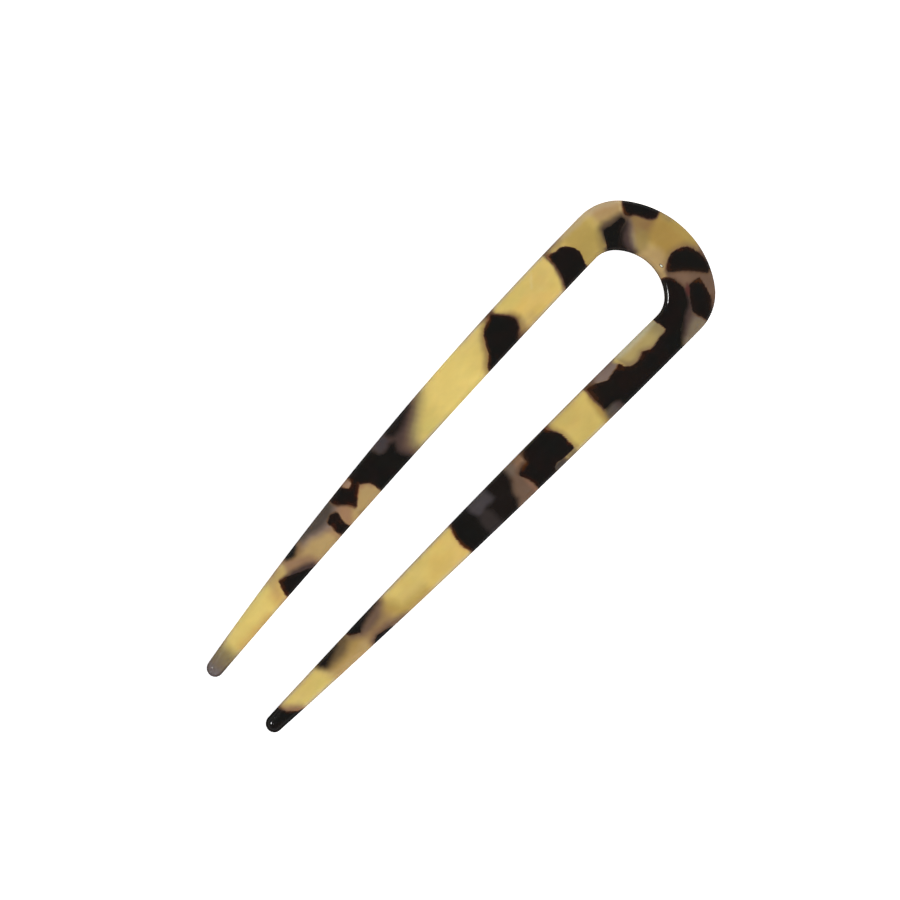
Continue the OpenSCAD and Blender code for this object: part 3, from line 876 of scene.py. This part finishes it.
def bubbleShadeAndGlint(tree, fromBubble, colour):
    # painted shade in a dark ring round a painted glint, the bubble's highlight
    look = acetateLook
    # painted shade round the pit
    ringShade = addRange(tree, fromBubble, look["bubbleRadius"], look["bubbleFloor"], 0, look["paintedRingShade"])
    colour = addMix(tree, ringShade, colour, hexColour(look["flank"]))
    # painted highlight in the middle of the pit
    paintedGlint = addRange(tree, fromBubble, *look["paintedGlintRadii"])
    return addMix(tree, paintedGlint, colour, hexColour(look["paintedGlintColour"]))


def polishedFinish(tree, place, fromBubble):
    # roughness and normal, with hairline scratches and a faint wave from the buffing wheel
    look = acetateLook
    oneWay = addNoise(tree, place, 1.0, 2.0, 0.5, stretch=(14, 0.35, 14), turn=0.35)
    otherWay = addNoise(tree, place, 1.0, 2.0, 0.5, stretch=(14, 0.3, 14), turn=-0.6)
    oneWay = addRange(tree, oneWay, 0.66, 0.74)
    scratches = addMath(tree, "MAXIMUM", oneWay, addRange(tree, otherWay, 0.68, 0.76))
    haze = addNoise(tree, place, look["hazeScale"], 4.0, 0.6)
    rough = addRange(tree, haze, 0.3, 0.75, *look["roughness"])
    rough = addMath(tree, "MULTIPLY_ADD", scratches, look["scratchRoughness"], rough)
    wave = addNode(tree, "ShaderNodeBump", {
        "Height": addNoise(tree, place, look["waveScale"], 1.0),
        "Distance": look["waveDepth"] * millimetre, "Strength": 1.0,
    })
    scratch = addNode(tree, "ShaderNodeBump", {
        "Height": scratches,
        "Distance": look["scratchDepth"] * millimetre, "Strength": 1.0, "Normal": wave.outputs["Normal"],
    }, invert=True)
    bubble = addNode(tree, "ShaderNodeBump", {
        "Height": addRange(tree, fromBubble, look["bubbleRadius"], 0.0),
        "Distance": look["bubbleDepth"] * millimetre, "Strength": 1.0, "Normal": scratch.outputs["Normal"],
    }, invert=True)
    return rough, bubble.outputs["Normal"]


def mottledAcetate():
    look = acetateLook
    material = bpy.data.materials.new("mottledAcetate")
    material.use_nodes = True
    tree = material.node_tree
    shader = tree.nodes["Principled BSDF"]
    objectPlace = addNode(tree, "ShaderNodeTexCoord").outputs["Object"]
    place = addVectorMath(tree, "SCALE", {0: objectPlace, "Scale": 1 / millimetre})
    fromBubble = bubbleDistance(tree, place)
    colour = veiledColour(tree, place, honeyColour(tree, place))
    colour = bubbleShadeAndGlint(tree, fromBubble, chippedColour(tree, place, colour))
    rough, normal = polishedFinish(tree, place, fromBubble)
    tree.links.new(colour, shader.inputs["Base Color"])
    tree.links.new(rough, shader.inputs["Roughness"])
    tree.links.new(normal, shader.inputs["Normal"])
    shader.inputs["IOR"].default_value = look["refraction"]
    shader.inputs["Subsurface Weight"].default_value = look["milkiness"]
    shader.inputs["Subsurface Radius"].default_value = look["scatter"]
    shader.inputs["Subsurface Scale"].default_value = look["scatterReach"] * millimetre
    shader.inputs["Coat Weight"].default_value = look["buffedSkin"]
    shader.inputs["Coat Roughness"].default_value = look["buffedRoughness"]
    print("mottled acetate ready")
    return material


# Studio

studio = {
    "turn": 43.22,           # degrees of the camera about the vertical, so that the bend is upper right
    "aim": (-3.31, 0.66),    # point under the camera
    "across": 180.0,         # width of the picture at the pin
    "height": 1200.0,        # of the camera above the middle of the pin
    "sensor": 36.0,
    "clip": (10.0, 20000.0),     # the nearest and the farthest that the camera shows
    "floorSide": 4000.0,
    "floorDrop": 0.05,       # below the pin
    "floorTone": 0.86,
    "floorRoughness": 0.9,
    "floorSheen": 0.1,
    "floorGlow": 0.7,
    "keyFrom": (-610, -464, 955),
    "keySides": (330.0, 220.0),
    "keyPower": 5.8,
    "fillFrom": (120, 70, 1200),
    "fillSides": (1200.0, 1200.0),
    "fillPower": 15.4,
    "horizon": 0.4,          # strengths of the room's light
    "nadir": 0.05,
    "zenith": 0.06,
    "zenithFrom": 0.6,       # height of a direction, from 0 to 1, where it is as dim as overhead
    "nadirFrom": -0.1,       # and where it is as dim as underfoot
}


def pinObject():
    mesh = pinMesh()
    addMottle(mesh)
    pin = bpy.data.objects.new("hairpin", mesh)
    bpy.context.scene.collection.objects.link(pin)
    pin.data.materials.append(mottledAcetate())
    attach(pin, "root")
    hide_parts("pin")
    print("hairpin", len(mesh.vertices), "vertices", len(mesh.polygons), "faces")


def addFloor():
    side = studio["floorSide"] * millimetre / 2
    low = -studio["floorDrop"] * millimetre
    mesh = bpy.data.meshes.new("floor")
    mesh.from_pydata([(-side, -side, low), (side, -side, low), (side, side, low), (-side, side, low)],
                     [], [(0, 1, 2, 3)])
    material = bpy.data.materials.new("paleFloor")
    material.use_nodes = True
    shader = material.node_tree.nodes["Principled BSDF"]
    shader.inputs["Base Color"].default_value = (studio["floorTone"],) * 3 + (1,)
    shader.inputs["Roughness"].default_value = studio["floorRoughness"]
    shader.inputs["Specular IOR Level"].default_value = studio["floorSheen"]
    shader.inputs["Emission Color"].default_value = (1, 1, 1, 1)
    shader.inputs["Emission Strength"].default_value = studio["floorGlow"]
    behind = addNode(material.node_tree, "ShaderNodeNewGeometry").outputs["Backfacing"]
    seen = addMath(material.node_tree, "SUBTRACT", 1.0, behind)     # open to views from below
    material.node_tree.links.new(seen, shader.inputs["Alpha"])
    mesh.materials.append(material)
    floor = bpy.data.objects.new("floor", mesh)
    floor.visible_glossy = False      # a mirrored floor would bleach the polished edges
    bpy.context.scene.collection.objects.link(floor)


def addSoftbox(name, place, sides, power, onlyGlints):
    light = bpy.data.lights.new(name, "AREA")
    light.shape = "RECTANGLE"
    light.size = sides[0] * millimetre
    light.size_y = sides[1] * millimetre
    light.energy = power
    box = bpy.data.objects.new(name, light)
    box.location = Vector(place) * millimetre
    box.rotation_euler = box.location.to_track_quat("Z", "Y").to_euler()
    box.visible_glossy = onlyGlints
    box.visible_diffuse = not onlyGlints
    bpy.context.scene.collection.objects.link(box)


def addRoomLight():
    # bright all round and dim overhead, so that the polished faces stay deep from above
    world = bpy.data.worlds.new("studio")
    world.use_nodes = True
    tree = world.node_tree
    direction = addNode(tree, "ShaderNodeTexCoord").outputs["Generated"]
    height = addNode(tree, "ShaderNodeSeparateXYZ", {0: direction}).outputs["Z"]
    above = addRange(tree, height, 0.0, studio["zenithFrom"], studio["horizon"], studio["zenith"])
    below = addRange(tree, height, studio["nadirFrom"], 0.0, studio["nadir"] / studio["horizon"])
    strength = addMath(tree, "MULTIPLY", above, below)
    tree.links.new(strength, tree.nodes["Background"].inputs["Strength"])
    tree.nodes["Background"].inputs["Color"].default_value = (1, 1, 1, 1)
    bpy.context.scene.world = world


def addCamera():
    data = bpy.data.cameras.new("camera")
    data.sensor_width = studio["sensor"]
    data.lens = studio["sensor"] * studio["height"] / studio["across"]
    camera = bpy.data.objects.new("camera", data)
    camera.location = Vector((*studio["aim"], studio["height"] + pinThickness / 2)) * millimetre
    camera.rotation_euler = (0, 0, math.radians(studio["turn"]))
    nearest, farthest = studio["clip"]
    data.clip_start = nearest * millimetre
    data.clip_end = farthest * millimetre
    bpy.context.scene.collection.objects.link(camera)
    bpy.context.scene.camera = camera


pinObject()
addFloor()
addSoftbox("keySoftbox", studio["keyFrom"], studio["keySides"], studio["keyPower"], True)
addSoftbox("fillSoftbox", studio["fillFrom"], studio["fillSides"], studio["fillPower"], False)
addRoomLight()
addCamera()
bpy.context.scene.view_settings.view_transform = "Standard"
print("studio ready")
